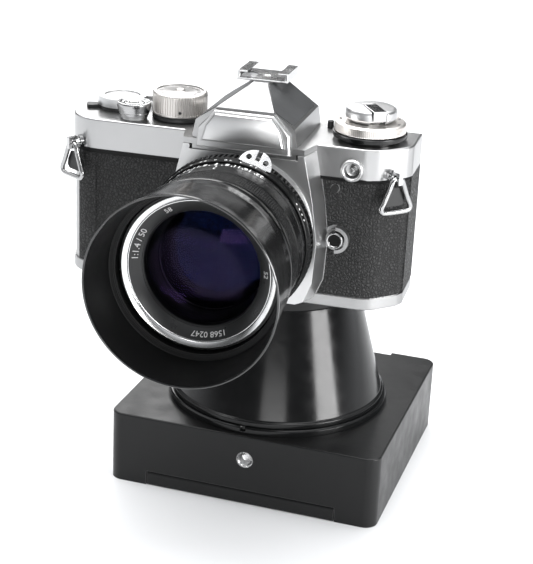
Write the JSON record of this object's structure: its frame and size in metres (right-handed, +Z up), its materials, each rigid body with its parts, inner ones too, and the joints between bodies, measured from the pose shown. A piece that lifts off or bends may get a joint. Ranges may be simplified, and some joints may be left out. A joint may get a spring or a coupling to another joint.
{
  "type": "film camera on a swivel stand",
  "caption": "Satin-chrome 35 mm reflex camera with hooded lens and working controls, held upright on a conical swivel neck over a square black box base.",
  "frame": {"origin": "on the ground under the axis of the conical neck, in the plane of the feet", "axes": "+Z up; the lens looks along -Y; +X is the side of the rewind knob; the box base is turned 3 degrees clockwise from the axes"},
  "size_m": [0.1514, 0.1847, 0.1773],
  "materials": {
    "black_paint": "satin",
    "rubber": "matt",
    "steel": "brushed",
    "black_anodised": "satin",
    "ballast": "rough",
    "black_plastic": "matt",
    "satin_chrome": "satin",
    "grey_panel": "satin",
    "leatherette": "grained",
    "cast_alloy": "satin",
    "mirror": "polished",
    "glass": "clear",
    "brass": "satin",
    "door_black": "grained",
    "bright_steel": "polished",
    "dial_metal": "satin",
    "coated_glass": "coated"
  },
  "bodies": {
    "base": {"base_shell": "black_paint", "base_floor_plate": "black_paint", "base_feet": "rubber", "base_screws": "steel", "tripod_socket": "steel", "hatch_pin": "steel", "bearing_ring": "black_anodised", "ballast_block": "ballast"},
    "head": {"neck_cone": "black_anodised", "neck_retainer": "steel", "camera_plate": "black_anodised", "camera_screw": "steel", "top_cover": "satin_chrome", "prism_side_panels": "grey_panel", "bottom_cover": "satin_chrome", "front_apron": "satin_chrome", "leatherette": "leatherette", "body_casting": "cast_alloy", "mirror_box": "black_plastic", "focusing_screen": "glass", "pentaprism": "glass", "shutter_unit": "black_anodised", "tripod_bushing": "brass", "door_hinge": "steel", "eyepiece": "black_plastic", "hot_shoe": "bright_steel", "lens_mount_ring": "bright_steel", "sync_socket": "bright_steel", "strap_lugs": "bright_steel", "release_collar": "bright_steel", "film_speed_base": "black_plastic", "lens_barrel": "black_anodised"},
    "hatch": {"hatch": "black_paint"},
    "neck_lock": {"neck_lock": "black_plastic"},
    "mirror": {"reflex_mirror": "mirror"},
    "spool": {"take_up_spool": "black_plastic"},
    "sprocket": {"sprocket": "steel"},
    "door": {"back_door": "door_black", "pressure_plate": "steel"},
    "strap_ring_right": {"strap_ring_right": "bright_steel"},
    "strap_ring_left": {"strap_ring_left": "bright_steel"},
    "shutter_button": {"shutter_button": "bright_steel"},
    "shutter_dial": {"shutter_dial": "dial_metal"},
    "advance_lever": {"advance_lever": "satin_chrome"},
    "film_speed_dial": {"film_speed_dial": "dial_metal"},
    "film_speed_lock": {"film_speed_lock": "black_plastic"},
    "rewind_sleeve": {"rewind_sleeve": "steel"},
    "rewind_knob": {"rewind_knob": "satin_chrome"},
    "rewind_crank": {"rewind_crank": "bright_steel"},
    "lens_release": {"lens_release_button": "bright_steel"},
    "flash_button": {"flash_button": "black_plastic"},
    "battery_cap": {"battery_cap": "bright_steel"},
    "rewind_release": {"rewind_release_button": "bright_steel"},
    "aperture_ring": {"aperture_ring": "black_anodised", "meter_fork": "bright_steel"},
    "focus_ring": {"focus_ring": "black_anodised"},
    "lens_front": {"front_barrel": "black_anodised", "lens_elements": "coated_glass", "iris_blades": "black_anodised", "lens_hood": "black_anodised"}
  },
  "joints": [
    {"name": "neck_turn", "type": "hinge", "parent": "base", "child": "head", "pos_m": [0, 0, 0.0346], "axis": [0, 0, 1], "continuous": true},
    {"name": "hatch_open", "type": "hinge", "parent": "base", "child": "hatch", "pos_m": [-0.00255, -0.04863, 0.0049], "axis": [-0.9986, 0.0523, 0], "range_deg": [0, 85]},
    {"name": "neck_lock_slide", "type": "slide", "parent": "base", "child": "neck_lock", "axis": [0.9986, -0.0523, 0], "range_m": [0, 0.008]},
    {"name": "mirror_flip", "type": "hinge", "parent": "head", "child": "mirror", "pos_m": [-0.0085, -0.0144, 0.133], "axis": [-1, 0, 0], "range_deg": [0, 45], "stiffness_Nm_per_rad": 0.02},
    {"name": "advance_turn", "type": "hinge", "parent": "head", "child": "advance_lever", "pos_m": [-0.0705, -0.01, 0.157], "axis": [0, 0, 1], "range_deg": [0, 135], "stiffness_Nm_per_rad": 0.01},
    {"name": "spool_turn", "type": "hinge", "parent": "head", "child": "spool", "pos_m": [-0.0685, -0.017, 0.117], "axis": [0, 0, 1], "range_deg": [0, 340]},
    {"name": "sprocket_turn", "type": "hinge", "parent": "head", "child": "sprocket", "pos_m": [-0.046, -0.011, 0.117], "axis": [0, 0, 1], "range_deg": [-340, 0]},
    {"name": "shutter_button_press", "type": "slide", "parent": "head", "child": "shutter_button", "axis": [0, 0, -1], "range_m": [0, 0.0012], "stiffness_N_per_m": 200},
    {"name": "shutter_dial_turn", "type": "hinge", "parent": "head", "child": "shutter_dial", "pos_m": [-0.0433, -0.016, 0.157], "axis": [0, 0, 1], "range_deg": [-150, 150]},
    {"name": "film_speed_turn", "type": "hinge", "parent": "head", "child": "film_speed_dial", "pos_m": [0.0363, -0.016, 0.158], "axis": [0, 0, 1], "range_deg": [-150, 150]},
    {"name": "film_speed_lock_press", "type": "slide", "parent": "head", "child": "film_speed_lock", "axis": [0, 0, -1], "range_m": [0, 0.0015], "stiffness_N_per_m": 200},
    {"name": "rewind_lift", "type": "slide", "parent": "head", "child": "rewind_sleeve", "axis": [0, 0, 1], "range_m": [0, 0.008]},
    {"name": "rewind_turn", "type": "hinge", "parent": "rewind_sleeve", "child": "rewind_knob", "pos_m": [0.0363, -0.016, 0.163], "axis": [0, 0, 1], "continuous": true},
    {"name": "crank_fold", "type": "hinge", "parent": "rewind_knob", "child": "rewind_crank", "pos_m": [0.0356, -0.01479, 0.1666], "axis": [-0.866, -0.5, 0], "range_deg": [0, 110]},
    {"name": "door_open", "type": "hinge", "parent": "head", "child": "door", "pos_m": [-0.0853, 0.0006, 0.117], "axis": [0, 0, 1], "range_deg": [0, 110]},
    {"name": "lens_release_press", "type": "slide", "parent": "head", "child": "lens_release", "axis": [0, 1, 0], "range_m": [0, 0.0012], "stiffness_N_per_m": 200},
    {"name": "flash_button_press", "type": "slide", "parent": "head", "child": "flash_button", "axis": [0, 1, 0], "range_m": [0, 0.0007], "stiffness_N_per_m": 200},
    {"name": "battery_cap_turn", "type": "hinge", "parent": "head", "child": "battery_cap", "pos_m": [-0.0305, -0.019, 0.091], "axis": [0, 0, 1], "range_deg": [0, 60]},
    {"name": "rewind_release_press", "type": "slide", "parent": "head", "child": "rewind_release", "axis": [0, 0, 1], "range_m": [0, 0.0007], "stiffness_N_per_m": 200},
    {"name": "strap_ring_right_swing", "type": "hinge", "parent": "head", "child": "strap_ring_right", "pos_m": [0.05125, -0.03035, 0.144], "axis": [-0.7071, -0.7071, 0], "range_deg": [-8, 85]},
    {"name": "strap_ring_left_swing", "type": "hinge", "parent": "head", "child": "strap_ring_left", "pos_m": [-0.08325, -0.03417, 0.144], "axis": [-0.848, 0.5299, 0], "range_deg": [-8, 85]},
    {"name": "aperture_turn", "type": "hinge", "parent": "head", "child": "aperture_ring", "pos_m": [-0.0085, -0.059, 0.1205], "axis": [0, -1, 0], "range_deg": [-14, 35]},
    {"name": "focus_turn", "type": "hinge", "parent": "head", "child": "focus_ring", "pos_m": [-0.0085, -0.075, 0.1205], "axis": [0, -1, 0], "range_deg": [0, 152]},
    {"name": "focus_travel", "type": "slide", "parent": "head", "child": "lens_front", "axis": [0, -1, 0], "range_m": [0, 0.0055]}
  ],
  "couplings": [
    {"joint": "spool_turn", "follows": "advance_turn", "ratio": 2.5},
    {"joint": "sprocket_turn", "follows": "advance_turn", "ratio": -2},
    {"joint": "focus_turn", "follows": "focus_travel", "rad_per_m": 476}
  ]
}
